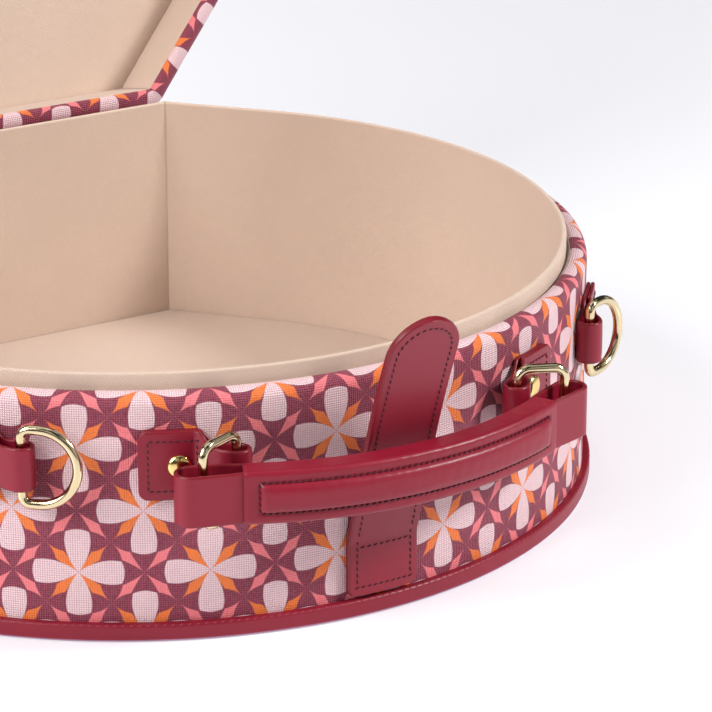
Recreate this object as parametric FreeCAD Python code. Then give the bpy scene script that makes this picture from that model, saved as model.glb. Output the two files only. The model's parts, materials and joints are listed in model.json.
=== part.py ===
import FreeCAD, Part
import math
import os

Vector = FreeCAD.Vector

# Hat box, flat back and hinged lid, shown with the lid standing open.
# Units are millimetres. +Z is up, the box stands on z = 0, and the closing flap is at -Y.
# The origin is the centre of the round front, on the underside of the base.

# Driving dimensions: the plan shape
ROUND_R = 200.0             # radius of the round side, outer face of the canvas
BACK_Y = 176.7              # outer face of the flat back
TANGENT_DEG = 131.3         # where the round side turns into the straight run, from the front
CORNER_R = 9.0              # outer rounding of the two back corners

# Driving dimensions: the base
SHELL_TOP = 106.0
COLLAR_TOP = 112.3
CANVAS = 1.2
SHOULDER_R = 4.5
BOARD_OUT = 5.0             # inward offset of the board's outer face
COLLAR_OUT = 9.2            # inward offset of the collar's outer face
CANVAS_EDGE = 8.0           # inward offset where the canvas ends, at the groove
CLOTH = 0.55
WALL = 11.5                 # inward offset of the finished inside wall
BASE_TOP = 2.0
BASE_SKIN = 0.6
FLOOR_TOP = 3.0
BOARD_TOP = 103.0
TRIM_OUT = 3.3
TRIM_H = 7.4
TRIM_ROUND = 1.4            # edge towards the wall
TRIM_FOOT_ROUND = 0.8       # edge towards the flat face

# Driving dimensions: the lid
LID_GAP = 0.3
LID_H = 39.0
LID_OPEN = 102.8            # degrees open at rest
LID_WALL = 8.6
LID_WRAP = 3.5              # how far the canvas turns up inside the rim
LID_TOP_BOARD = 3.2
LID_TOP_CLOTH = 1.3
LID_RIM_BOARD = 2.8
LID_LINING = 1.2
LID_TOP_ROUND = 2.0
HINGE_LEAF = 1.5
HINGE_HALF = 95.0
HINGE_LEAF_H = 30.0
HINGE_CLEAR = 1.3
LID_MAGNET_T = 2.0
LID_MAGNET_IN = 0.5         # depth of the disc under the canvas

# Driving dimensions: the closing flap
STRAP_W = 34.0
STRAP_T = 3.2
STRAP_FOOT = 9.5
FLAP_Z = 33.0               # height of the fold
FLAP_LEN = 104.0
FLAP_LEAN = 16.0            # degrees, away from the box at rest
STRAP_STAND = 0.2
STRAP_CORNER = 3.0
FOLD_CLEAR = 0.35           # between the foot and the flap's round fold
MAGNET_R = 7.0
MAGNET_T = 1.2
MAGNET_UP = 89.0            # along the flap from the fold
MAGNET_CLEAR = 0.05

# Driving dimensions: the four leather tabs
TAB_Z = 76.8
TAB_LEATHER = 1.8
TAB_STAND = 0.2
TONGUE_HALF = 9.4
PATCH_HALF = 14.75
PATCH_IN = 10.5             # along the shell, from the ring's bar to the patch
PATCH_OUT = 38.0
PATCH_CORNER = 4.0
NECK_RUN = 3.0              # half the length of the slope from the patch down to the tongue
LOOP_END = 14.0             # along the shell, where the loop's two layers meet
STUD_ALONG = 21.6
STUD_R = 5.0
STUD_H = 2.6
SHANK_R = 1.6
FIT = 0.1                   # room round the shank and the washer
HOLE_R = SHANK_R + FIT
WASHER_R = 6.0
WASHER_T = 1.0
LOOP_R = 3.9                # inside radius of the tab's loop
HANDLE_TAB_DEG = 18.7       # ring bar, from the front
HANDLE_TAB_LIFT = 5.0       # the handle draws its tabs away from the shell
DEE_TAB_DEG = 42.7

# Driving dimensions: the rings
WIRE_R = 2.1
RING_HALF_H = 17.0          # half the height of a handle ring, to the middle of the wire
RING_CORNER = 5.0
RING_SPAN = (19.4, -6.7)    # bar to bar in plan, right ring
RING_Z = 75.4
RING_DROOP = 0.6            # the handle's end of the ring hangs lower
DEE_HALF_H = 16.0
DEE_DEPTH = 23.3
DEE_CORNER = 4.0
DEE_LEFT_TURN = 0.0         # degrees away from lying along the shell towards the handle
DEE_RIGHT_TURN = 159.0

# Driving dimensions: the handle
GRIP_R = 158.0              # front face in plan
GRIP_CENTRE_Y = -79.4
GRIP_T = 12.5
GRIP_HALF_DEG = 28.6
GRIP_Z = 71.6
GRIP_HALF_H = 11.4
GRIP_SKIN = 0.9
GRIP_ROUND = 1.6
PAD_PROUD = 2.4
PAD_ROUND = 2.3
PAD_HALF_H = 6.1
PAD_HALF_DEG = 26.0
END_TILT = 17.0             # degrees, direction of the end loops in plan
END_LEATHER = 1.9
END_R = 7.3
END_RUN = 19.2
END_HALF_H = 10.9
END_TUCK = 4.0              # how far the loop's layers reach into the sleeve
CORE_IN = 3.0               # the core stays this far inside the sleeve


def polar(radius, degrees, z=0.0):
    """Point at an angle from the front, positive towards +X."""
    a = math.radians(degrees)
    return Vector(radius * math.sin(a), -radius * math.cos(a), z)


def corner_arc(corner, towards_a, towards_b, radius):
    """Rounding of a corner between two straight runs."""
    u = (towards_a - corner).normalize()
    v = (towards_b - corner).normalize()
    half = u.getAngle(v) / 2
    middle = (u + v).normalize()
    a = corner + u * (radius / math.tan(half))
    b = corner + v * (radius / math.tan(half))
    top = corner + middle * (radius / math.sin(half) - radius)
    return Part.Arc(a, top, b).toShape(), a, b


def outline(offset, z):
    """The box's plan shape, moved inwards by offset: an arc, two straight runs, a flat back."""
    r = ROUND_R - offset
    y = BACK_Y - offset
    right = polar(r, TANGENT_DEG, z)
    left = polar(r, -TANGENT_DEG, z)
    run = polar(1.0, TANGENT_DEG + 90)
    corner_r = right + run * ((y - right.y) / run.y)
    corner_l = Vector(-corner_r.x, corner_r.y, z)
    rounding = max(CORNER_R - offset, 1.0)
    bend_r, a_r, b_r = corner_arc(corner_r, right, corner_l, rounding)
    bend_l, a_l, b_l = corner_arc(corner_l, corner_r, left, rounding)
    edges = [
        Part.Arc(left, polar(r, 0, z), right).toShape(),
        Part.makeLine(right, a_r),
        bend_r,
        Part.makeLine(b_r, a_l),
        bend_l,
        Part.makeLine(b_l, left),
    ]
    return Part.Wire(edges)


def lies_at(edge, level):
    box = edge.BoundBox
    return max(abs(box.ZMin - level), abs(box.ZMax - level)) < 1e-3


def slab(offset, z0, z1, top_round=0.0, foot_round=0.0):
    """A solid of the plan shape, with its upper or lower outer edge rounded."""
    body = Part.Face(outline(offset, z0)).extrude(Vector(0, 0, z1 - z0))
    for radius, level in ((top_round, z1), (foot_round, z0)):
        if radius:
            body = body.makeFillet(radius, [e for e in body.Edges if lies_at(e, level)])
    return body


def wall(outer, inner, z0, z1, top_round=0.0, foot_round=0.0):
    """A band of the plan shape between two offsets."""
    return slab(outer, z0, z1, top_round, foot_round).cut(slab(inner, z0 - 1, z1 + 1))


def turned(shape, point, axis, degrees):
    copy = shape.copy()
    copy.rotate(point, axis, degrees)
    return copy


# The studs' places, also where holes go through the wall

BOARD_FACE = ROUND_R - COLLAR_OUT


def arc_deg(length):
    return math.degrees(length / ROUND_R)


def tab_bars():
    """Name, side and angle of the four tabs."""
    rows = []
    for side, word in ((-1, "left"), (1, "right")):
        rows.append(("handle_tab_" + word, side, HANDLE_TAB_DEG))
        rows.append(("dee_tab_" + word, side, DEE_TAB_DEG))
    return rows


def tab_lift(name):
    return HANDLE_TAB_LIFT if name.startswith("handle") else 0.0


def radial_cylinder(radius, r0, r1, degrees):
    start = polar(r0, degrees, TAB_Z)
    return Part.makeCylinder(radius, r1 - r0, start, polar(1.0, degrees))


def stud_angles():
    return [side * (bar + arc_deg(STUD_ALONG)) for _, side, bar in tab_bars()]


def with_stud_holes(shape):
    for angle in stud_angles():
        shape = shape.cut(radial_cylinder(HOLE_R, BOARD_FACE - 1, ROUND_R + 1, angle))
    return shape


# The base

def base_parts():
    cover = wall(0, CANVAS_EDGE, BASE_TOP, SHELL_TOP, top_round=SHOULDER_R)
    inside = slab(CANVAS, BASE_TOP - 1, SHELL_TOP - CANVAS, top_round=SHOULDER_R - CANVAS)
    cover = with_stud_holes(cover.cut(inside))
    board = wall(BOARD_OUT, COLLAR_OUT, BASE_TOP, BOARD_TOP)
    padding = slab(CANVAS, BASE_TOP, SHELL_TOP - CANVAS, top_round=SHOULDER_R - CANVAS)
    padding = padding.cut(slab(BOARD_OUT, BASE_TOP - 1, BOARD_TOP))
    padding = padding.cut(slab(CANVAS_EDGE, BASE_TOP - 1, SHELL_TOP))
    liner_board = wall(COLLAR_OUT + CLOTH, WALL - CLOTH, BASE_TOP, COLLAR_TOP - CLOTH)
    lining = wall(COLLAR_OUT, WALL, BASE_TOP, COLLAR_TOP).cut(liner_board)
    washers = []
    for angle in stud_angles():
        recess = radial_cylinder(WASHER_R, BOARD_FACE - 1, BOARD_FACE + WASHER_T, angle)
        board = board.cut(recess)
        disc = radial_cylinder(WASHER_R - FIT, BOARD_FACE + FIT, BOARD_FACE + WASHER_T, angle)
        washers.append(disc.cut(radial_cylinder(HOLE_R, BOARD_FACE - 1, ROUND_R, angle)))
    trim = slab(-TRIM_OUT, 0, TRIM_H, top_round=TRIM_ROUND, foot_round=TRIM_FOOT_ROUND)
    trim = trim.cut(slab(0, -1, TRIM_H + 1))
    return {
        "base_cover": slab(0, 0, BASE_SKIN),
        "base_board": slab(0, BASE_SKIN, BASE_TOP),
        "floor_lining": slab(WALL, BASE_TOP, FLOOR_TOP),
        "outer_cover": cover,
        "wall_padding": with_stud_holes(padding),
        "wall_board": with_stud_holes(board),
        "collar_board": liner_board,
        "wall_lining": lining,
        "bottom_trim": trim,
        "stud_washers": Part.Compound(washers),
    }


# The lid, drawn closed and then turned open about the hinge line

HINGE_Y = BACK_Y + HINGE_LEAF / 2
HINGE_Z = SHELL_TOP + LID_GAP / 2
HINGE_POINT = Vector(0, HINGE_Y, HINGE_Z)
LID_FOOT = SHELL_TOP + LID_GAP
LID_TOP = LID_FOOT + LID_H


def hinge_leaf(z0, z1):
    return Part.makeBox(2 * HINGE_HALF, HINGE_LEAF, z1 - z0, Vector(-HINGE_HALF, BACK_Y, z0))


def lid_magnet_disc(clear):
    """Steel disc in the lid's padding, where the flap's magnet meets the closed lid."""
    y = -(ROUND_R - CANVAS - LID_MAGNET_IN)
    start = Vector(0, y - clear, FLAP_Z + MAGNET_UP)
    return Part.makeCylinder(MAGNET_R + clear, LID_MAGNET_T + 2 * clear, start, Vector(0, 1, 0))


def lid_parts():
    lining_in = LID_WALL - LID_LINING
    ceiling = LID_TOP - CANVAS - LID_TOP_BOARD
    skin = slab(0, LID_FOOT, LID_TOP, top_round=LID_TOP_ROUND, foot_round=SHOULDER_R)
    hollow = slab(CANVAS, LID_FOOT + CANVAS, LID_TOP - CANVAS, foot_round=SHOULDER_R - CANVAS)
    mouth = slab(LID_WALL, LID_FOOT - 1, LID_FOOT + CANVAS + 1)
    wrap = wall(lining_in, LID_WALL, LID_FOOT + CANVAS / 2, LID_FOOT + LID_WRAP)
    cover = skin.cut(hollow).cut(mouth).fuse(wrap).removeSplitter()
    rim_board = wall(lining_in - LID_RIM_BOARD, lining_in, LID_FOOT + CANVAS, ceiling)
    padding = slab(CANVAS, LID_FOOT + CANVAS, ceiling, foot_round=SHOULDER_R - CANVAS)
    padding = padding.cut(slab(lining_in - LID_RIM_BOARD, LID_FOOT, ceiling + 1))
    padding = padding.cut(lid_magnet_disc(MAGNET_CLEAR))
    trim = slab(-TRIM_OUT, LID_TOP - TRIM_H, LID_TOP, top_round=TRIM_FOOT_ROUND, foot_round=TRIM_ROUND)
    trim = trim.cut(slab(0, LID_TOP - TRIM_H - 1, LID_TOP + 1))
    parts = {
        "lid_cover": cover,
        "lid_padding": padding,
        "lid_rim_board": rim_board,
        "lid_top_board": slab(CANVAS, ceiling, LID_TOP - CANVAS),
        "lid_rim_lining": wall(lining_in, LID_WALL, LID_FOOT + LID_WRAP, ceiling),
        "lid_top_lining": slab(LID_WALL, ceiling - LID_TOP_CLOTH, ceiling),
        "lid_trim": trim,
        "lid_magnet": lid_magnet_disc(0),
        "hinge_leaf_lid": hinge_leaf(HINGE_Z + HINGE_CLEAR, HINGE_Z + HINGE_CLEAR + HINGE_LEAF_H),
    }
    axis = Vector(1, 0, 0)
    return {name: turned(shape, HINGE_POINT, axis, -LID_OPEN) for name, shape in parts.items()}


# The closing strap: a foot sewn to the shell and a flap that folds on it

def strap_parts():
    r0 = ROUND_R + STRAP_STAND
    foot_top = FLAP_Z - STRAP_T / 2 - FOLD_CLEAR
    deep = 4 * STRAP_T
    front_corner = Vector(-STRAP_W / 2, -r0 - STRAP_T, STRAP_FOOT)
    block = Part.makeBox(STRAP_W, deep, foot_top - STRAP_FOOT, front_corner)
    lower = [e for e in block.Edges if abs(e.Length - deep) < 1e-6 and e.BoundBox.ZMax < STRAP_FOOT + 1]
    block = block.makeFillet(STRAP_CORNER, lower)
    foot = block.common(Part.makeCylinder(r0 + STRAP_T, SHELL_TOP))
    foot = foot.cut(Part.makeCylinder(r0, SHELL_TOP))
    y = -(r0 + STRAP_T / 2)
    half = STRAP_W / 2
    shoulder = FLAP_Z + FLAP_LEN - half
    low = [Vector(s * half, y, FLAP_Z) for s in (-1, 1)]
    high = [Vector(s * half, y, shoulder) for s in (-1, 1)]
    edges = [
        Part.makeLine(low[0], low[1]),
        Part.makeLine(low[1], high[1]),
        Part.Arc(high[1], Vector(0, y, shoulder + half), high[0]).toShape(),
        Part.makeLine(high[0], low[0]),
    ]
    face = Part.Face(Part.Wire(edges))
    face.translate(Vector(0, -STRAP_T / 2, 0))
    flap = face.extrude(Vector(0, STRAP_T, 0))
    fold = Part.makeCylinder(STRAP_T / 2, STRAP_W, Vector(-half, y, FLAP_Z), Vector(1, 0, 0))
    flap = flap.fuse(fold).removeSplitter()
    middle = Vector(0, y - MAGNET_T / 2, FLAP_Z + MAGNET_UP)
    magnet = Part.makeCylinder(MAGNET_R, MAGNET_T, middle, Vector(0, 1, 0))
    pocket_start = middle - Vector(0, MAGNET_CLEAR, 0)
    pocket_deep = MAGNET_T + 2 * MAGNET_CLEAR
    pocket = Part.makeCylinder(MAGNET_R + MAGNET_CLEAR, pocket_deep, pocket_start, Vector(0, 1, 0))
    flap = flap.cut(pocket)
    pivot = Vector(0, y, FLAP_Z)
    lean = Vector(1, 0, 0)
    return {
        "closure_foot": foot,
        "closure_flap": turned(flap, pivot, lean, FLAP_LEAN),
        "flap_magnet": turned(magnet, pivot, lean, FLAP_LEAN),
    }


# The leather tabs that hold the rings

BAR_OFF = TAB_STAND + TAB_LEATHER + LOOP_R
FOLD_GAP = 0.2              # between the two layers, where the fold opens
FOLD_RISE = 0.12            # the fold opens higher where the loop is drawn out
PATCH_TOP = TAB_STAND + 2 * TAB_LEATHER + FOLD_GAP


class TabPlan:
    """Plan of one tab: lengths run along the shell from the ring's bar, heights stand off it."""

    def __init__(self, side, bar_deg, lift):
        self.side = side
        self.bar = bar_deg
        self.centre = (0.0, BAR_OFF + lift)

    def at(self, along, off, z=0.0):
        return polar(ROUND_R + off, self.side * (self.bar + arc_deg(along)), z)

    def arc(self, a, b, c):
        return Part.Arc(self.at(*a), self.at(*b), self.at(*c)).toShape()

    def run(self, a, b):
        if a[0] == b[0]:
            return Part.makeLine(self.at(*a), self.at(*b))
        middle = ((a[0] + b[0]) / 2, (a[1] + b[1]) / 2)
        return self.arc(a, middle, b)


def tangent_angle(centre, radius, target, upper):
    """Direction, seen from a circle's centre, where the tangent from a target point meets it."""
    dx = target[0] - centre[0]
    dy = target[1] - centre[1]
    return math.atan2(dy, dx) + upper * math.acos(radius / math.hypot(dx, dy))


def on_circle(centre, radius, angle):
    return (centre[0] + radius * math.cos(angle), centre[1] + radius * math.sin(angle))


def loop_edges(plan, radius, target, foot):
    """Bar-side end of the loop: from the foot round the end and down to the target."""
    high = tangent_angle(plan.centre, radius, target, 1)
    low = tangent_angle(plan.centre, radius, foot, -1) + 2 * math.pi
    low_touch = on_circle(plan.centre, radius, low)
    touch = on_circle(plan.centre, radius, high)
    return [
        plan.run(foot, low_touch),
        plan.arc(low_touch, on_circle(plan.centre, radius, (high + low) / 2), touch),
        plan.run(touch, target),
    ]


def tab_silhouette(plan):
    """Front view of the tab, pushed through it along one direction."""
    middle = (PATCH_IN + PATCH_OUT) / 2
    across = polar(1.0, plan.side * (plan.bar + arc_deg(middle)) + 90) * plan.side
    origin = plan.at(middle, -10.0, TAB_Z)

    def pt(along, up):
        return origin + across * (along - middle) + Vector(0, 0, up)

    outer = PATCH_OUT - PATCH_CORNER
    before_bar = -2 * LOOP_R - TAB_LEATHER
    bevel = PATCH_CORNER * (1 - math.sqrt(0.5))
    edges = []
    for s in (1, -1):
        p = PATCH_HALF * s
        t = TONGUE_HALF * s
        corner = (pt(PATCH_OUT, p - PATCH_CORNER * s), pt(PATCH_OUT - bevel, p - bevel * s), pt(outer, p))
        edges.append(Part.Arc(*corner).toShape())
        edges.append(Part.makeLine(pt(outer, p), pt(PATCH_IN + NECK_RUN, p)))
        edges.append(Part.makeLine(pt(PATCH_IN + NECK_RUN, p), pt(PATCH_IN - NECK_RUN, t)))
        edges.append(Part.makeLine(pt(PATCH_IN - NECK_RUN, t), pt(before_bar, t)))
    edges.append(Part.makeLine(pt(before_bar, TONGUE_HALF), pt(before_bar, -TONGUE_HALF)))
    side = PATCH_HALF - PATCH_CORNER
    edges.append(Part.makeLine(pt(PATCH_OUT, side), pt(PATCH_OUT, -side)))
    face = Part.Face(Part.Wire(Part.sortEdges(edges)[0]))
    return face.extrude(polar(1.0, plan.side * (plan.bar + arc_deg(middle))) * 30)


def tab(side, bar_deg, lift):
    plan = TabPlan(side, bar_deg, lift)
    outer = [plan.run((PATCH_OUT, TAB_STAND), (LOOP_END, TAB_STAND))]
    outer += loop_edges(plan, LOOP_R + TAB_LEATHER, (LOOP_END, PATCH_TOP), (LOOP_END, TAB_STAND))
    outer.append(plan.run((LOOP_END, PATCH_TOP), (PATCH_OUT, PATCH_TOP)))
    outer.append(plan.run((PATCH_OUT, PATCH_TOP), (PATCH_OUT, TAB_STAND)))
    tip = (LOOP_END - TAB_LEATHER, TAB_STAND + TAB_LEATHER + lift * FOLD_RISE)
    tip_top = (tip[0], tip[1] + FOLD_GAP)
    inner = loop_edges(plan, LOOP_R, tip_top, tip)
    inner.append(plan.run(tip_top, tip))
    height = Vector(0, 0, 2 * PATCH_HALF)
    lift = Vector(0, 0, TAB_Z - PATCH_HALF)
    solids = []
    for edges in (outer, inner):
        body = Part.Face(Part.Wire(edges)).extrude(height)
        body.translate(lift)
        solids.append(body)
    body = solids[0].cut(solids[1]).common(tab_silhouette(plan))
    hole_deg = side * (bar_deg + arc_deg(STUD_ALONG))
    return body.cut(radial_cylinder(HOLE_R, ROUND_R - 1, ROUND_R + 20, hole_deg))


def stud(side, bar_deg):
    """Domed rivet head on a shank that reaches the washer inside the wall."""
    shank_in = BOARD_FACE + FIT
    head = ROUND_R + PATCH_TOP
    sphere_r = (STUD_R ** 2 + STUD_H ** 2) / (2 * STUD_H)
    half_way = STUD_R / 2
    dome = head + STUD_H - sphere_r + math.sqrt(sphere_r ** 2 - half_way ** 2)
    edges = [
        Part.makeLine(Vector(0, 0, shank_in), Vector(SHANK_R, 0, shank_in)),
        Part.makeLine(Vector(SHANK_R, 0, shank_in), Vector(SHANK_R, 0, head)),
        Part.makeLine(Vector(SHANK_R, 0, head), Vector(STUD_R, 0, head)),
        Part.Arc(Vector(STUD_R, 0, head), Vector(half_way, 0, dome), Vector(0, 0, head + STUD_H)).toShape(),
        Part.makeLine(Vector(0, 0, head + STUD_H), Vector(0, 0, shank_in)),
    ]
    body = Part.Face(Part.Wire(edges)).revolve(Vector(0, 0, 0), Vector(0, 0, 1), 360)
    body.rotate(Vector(0, 0, 0), Vector(1, 0, 0), 90)
    body.rotate(Vector(0, 0, 0), Vector(0, 0, 1), side * (bar_deg + arc_deg(STUD_ALONG)))
    body.translate(Vector(0, 0, TAB_Z))
    return body


# The rings

def swept_ring(edges):
    path = Part.Wire(edges)
    start = edges[0].Vertexes[0].Point
    profile = Part.Wire([Part.makeCircle(WIRE_R, start, edges[0].tangentAt(edges[0].FirstParameter))])
    return path.makePipeShell([profile], True, False, 1)


def quarter(centre, radius, start_deg):
    """Quarter circle in the ring's own plane, X along it and Z up."""
    pts = []
    for step in (0, 45, 90):
        a = math.radians(start_deg + step)
        pts.append(centre + Vector(radius * math.cos(a), 0, radius * math.sin(a)))
    return Part.Arc(*pts).toShape()


def place_ring(shape, bar_point, direction_deg, tilt_deg):
    """Turn a ring drawn with its bar on the Z axis, and stand it at its bar."""
    body = turned(shape, Vector(0, 0, 0), Vector(0, 1, 0), tilt_deg)
    body = turned(body, Vector(0, 0, 0), Vector(0, 0, 1), direction_deg)
    body.translate(bar_point)
    return body


def handle_ring(side):
    """Rectangular ring between a tab and the handle."""
    width = math.hypot(*RING_SPAN)
    tilt = math.degrees(math.asin(RING_DROOP / width))
    c = RING_CORNER
    h = RING_HALF_H
    edges = [
        Part.makeLine(Vector(0, 0, 0), Vector(0, 0, -h + c)),
        quarter(Vector(c, 0, -h + c), c, 180),
        Part.makeLine(Vector(c, 0, -h), Vector(width - c, 0, -h)),
        quarter(Vector(width - c, 0, -h + c), c, 270),
        Part.makeLine(Vector(width, 0, -h + c), Vector(width, 0, h - c)),
        quarter(Vector(width - c, 0, h - c), c, 0),
        Part.makeLine(Vector(width - c, 0, h), Vector(c, 0, h)),
        quarter(Vector(c, 0, h - c), c, 90),
        Part.makeLine(Vector(0, 0, h - c), Vector(0, 0, 0)),
    ]
    heading = math.degrees(math.atan2(RING_SPAN[1], RING_SPAN[0] * side))
    bar = polar(ROUND_R + BAR_OFF + HANDLE_TAB_LIFT, side * HANDLE_TAB_DEG, RING_Z)
    return place_ring(swept_ring(edges), bar, heading, tilt)


def dee_ring(side, turn_deg):
    """D ring: a straight bar in the tab and a half circle."""
    c = DEE_CORNER
    h = DEE_HALF_H
    neck = DEE_DEPTH - h
    edges = [
        Part.makeLine(Vector(0, 0, 0), Vector(0, 0, -h + c)),
        quarter(Vector(c, 0, -h + c), c, 180),
        Part.makeLine(Vector(c, 0, -h), Vector(neck, 0, -h)),
        Part.Arc(Vector(neck, 0, -h), Vector(DEE_DEPTH, 0, 0), Vector(neck, 0, h)).toShape(),
        Part.makeLine(Vector(neck, 0, h), Vector(c, 0, h)),
        quarter(Vector(c, 0, h - c), c, 90),
        Part.makeLine(Vector(0, 0, h - c), Vector(0, 0, 0)),
    ]
    bar_deg = side * DEE_TAB_DEG
    along_shell = bar_deg if side < 0 else bar_deg + 180
    heading = along_shell + side * turn_deg
    bar = polar(ROUND_R + BAR_OFF, bar_deg, TAB_Z)
    return place_ring(swept_ring(edges), bar, heading, 0)


# The handle

GRIP_CENTRE = Vector(0, GRIP_CENTRE_Y, 0)


def bowed_bar(r0, r1, half_deg, half_h):
    """A bar that is bent round the grip's centre line."""
    foot = GRIP_Z - half_h
    pts = []
    for r in (r0, r1):
        pts.append([GRIP_CENTRE + polar(r, d, foot) for d in (-half_deg, 0, half_deg)])
    edges = [
        Part.Arc(*pts[1]).toShape(),
        Part.makeLine(pts[1][2], pts[0][2]),
        Part.Arc(*pts[0]).toShape(),
        Part.makeLine(pts[0][0], pts[1][0]),
    ]
    return Part.Face(Part.Wire(edges)).extrude(Vector(0, 0, 2 * half_h))


def long_edges(body):
    return [e for e in body.Edges if e.Length > 50]


def handle_end(side):
    """Leather loop at one end of the handle, round the ring's outer bar."""
    a = math.radians(END_TILT)
    run = Vector(side * math.cos(a), math.sin(a), 0)
    inward = Vector(-side * math.sin(a), math.cos(a), 0)
    front = GRIP_CENTRE + polar(GRIP_R - GRIP_SKIN, side * GRIP_HALF_DEG)
    back = GRIP_CENTRE + polar(GRIP_R - GRIP_T + GRIP_SKIN, side * GRIP_HALF_DEG)
    centre = front + run * END_RUN + inward * END_R
    into_grip = run * -END_TUCK

    def loop(inset):
        r = END_R - inset
        f0 = front + inward * inset
        b_dir = (centre + inward * END_R - back).normalize()
        b_in = Vector(b_dir.y, -b_dir.x, 0) * side
        b0 = back + b_in * inset
        f1 = centre - inward * r
        b1 = centre + inward * r
        edges = [
            Part.makeLine(f0 + into_grip, f1),
            Part.Arc(f1, centre + run * r, b1).toShape(),
            Part.makeLine(b1, b0),
            Part.makeLine(b0, b0 + into_grip),
            Part.makeLine(b0 + into_grip, f0 + into_grip),
        ]
        face = Part.Face(Part.Wire(edges))
        face.translate(Vector(0, 0, GRIP_Z - END_HALF_H))
        return face.extrude(Vector(0, 0, 2 * END_HALF_H))

    return loop(0).cut(loop(END_LEATHER))


def handle_parts():
    full = bowed_bar(GRIP_R - GRIP_T, GRIP_R, GRIP_HALF_DEG, GRIP_HALF_H)
    full = full.makeFillet(GRIP_ROUND, long_edges(full))
    pad = bowed_bar(GRIP_R - CORE_IN, GRIP_R + PAD_PROUD, PAD_HALF_DEG, PAD_HALF_H)
    front = [e for e in long_edges(pad) if e.Curve.Radius > GRIP_R]
    pad = pad.makeFillet(PAD_ROUND, front)
    ends = {"handle_end_left": handle_end(-1), "handle_end_right": handle_end(1)}
    core = bowed_bar(GRIP_R - GRIP_T + CORE_IN, GRIP_R - CORE_IN, PAD_HALF_DEG, GRIP_HALF_H - CORE_IN)
    core = core.makeFillet(CORE_IN, long_edges(core))
    sleeve = full.fuse(pad).removeSplitter().cut(core)
    for end in ends.values():
        sleeve = sleeve.cut(end)
    parts = {"handle_sleeve": sleeve, "handle_core": core}
    parts.update(ends)
    return parts


def all_parts():
    parts = base_parts()
    parts["hinge_leaf_base"] = hinge_leaf(HINGE_Z - HINGE_CLEAR - HINGE_LEAF_H, HINGE_Z - HINGE_CLEAR)
    parts.update(lid_parts())
    parts.update(strap_parts())
    for name, side, bar in tab_bars():
        parts[name] = tab(side, bar, tab_lift(name))
        parts[name.replace("tab", "stud")] = stud(side, bar)
    parts["handle_ring_left"] = handle_ring(-1)
    parts["handle_ring_right"] = handle_ring(1)
    parts["dee_ring_left"] = dee_ring(-1, DEE_LEFT_TURN)
    parts["dee_ring_right"] = dee_ring(1, DEE_RIGHT_TURN)
    parts.update(handle_parts())
    return parts


os.makedirs("parts", exist_ok=True)
for node, shape in all_parts().items():
    box = shape.BoundBox
    print("%-18s solids %d valid %s volume %9.1f  x %7.1f %7.1f  y %7.1f %7.1f  z %7.1f %7.1f" % (
        node, len(shape.Solids), shape.isValid(), shape.Volume,
        box.XMin, box.XMax, box.YMin, box.YMax, box.ZMin, box.ZMax))
    shape.exportStep("parts/" + node + ".step")
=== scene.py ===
import json
import math

import bmesh
import bpy
from mathutils import Matrix, Vector, noise


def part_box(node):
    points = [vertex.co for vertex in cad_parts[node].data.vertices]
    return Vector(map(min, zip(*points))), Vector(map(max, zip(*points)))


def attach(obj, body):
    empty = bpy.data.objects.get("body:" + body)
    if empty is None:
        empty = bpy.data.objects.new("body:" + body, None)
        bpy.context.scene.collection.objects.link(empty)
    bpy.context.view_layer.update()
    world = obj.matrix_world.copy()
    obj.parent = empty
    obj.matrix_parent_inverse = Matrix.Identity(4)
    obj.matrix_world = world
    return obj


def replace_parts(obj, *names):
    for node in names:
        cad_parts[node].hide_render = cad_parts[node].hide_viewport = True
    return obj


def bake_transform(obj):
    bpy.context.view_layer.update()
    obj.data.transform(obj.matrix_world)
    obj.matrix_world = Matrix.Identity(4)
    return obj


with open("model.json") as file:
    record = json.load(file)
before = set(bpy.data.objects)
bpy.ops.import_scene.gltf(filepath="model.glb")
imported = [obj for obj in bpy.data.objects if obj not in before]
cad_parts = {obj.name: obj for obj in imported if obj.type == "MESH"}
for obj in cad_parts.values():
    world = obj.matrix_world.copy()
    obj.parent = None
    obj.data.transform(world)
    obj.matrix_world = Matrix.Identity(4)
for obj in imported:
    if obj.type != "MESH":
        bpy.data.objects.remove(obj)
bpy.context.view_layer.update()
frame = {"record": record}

# Lengths are in millimetres here, and each mesh is scaled to metres when it is made.
MM = 0.001


def corners(node):
    """Lowest and highest corner of a CAD node, in millimetres."""
    low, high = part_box(node)
    return Vector(low) / MM, Vector(high) / MM


def heights(node):
    """Middle and half of a CAD node's height."""
    low, high = corners(node)
    return (low.z + high.z) / 2, (high.z - low.z) / 2


def joint(name):
    return next(j for j in frame["record"]["behaviour"]["joints"] if j["name"] == name)


def joint_point(name):
    return Vector(joint(name)["pos_m"]) / MM


# The plan shape, as in the CAD model: a round side, two straight runs and a flat back
ROUND_R = corners("base_cover")[1].x
BACK_Y = corners("base_cover")[1].y
TANGENT_DEG = 131.3
CORNER_R = 9.0
SHARPEST = 1.0  # least radius of an inner wall's corner

# Heights, from the CAD nodes
SHELL_TOP = corners("outer_cover")[1].z
SHELL_FOOT = corners("outer_cover")[0].z
COLLAR_TOP = corners("wall_lining")[1].z
TRIM_H = corners("bottom_trim")[1].z
TRIM_OUT = corners("bottom_trim")[1].x - ROUND_R
COLLAR_OUT = ROUND_R - corners("wall_lining")[1].x
WALL = ROUND_R - corners("floor_lining")[1].x
FLOOR_TOP = corners("floor_lining")[1].z

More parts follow.
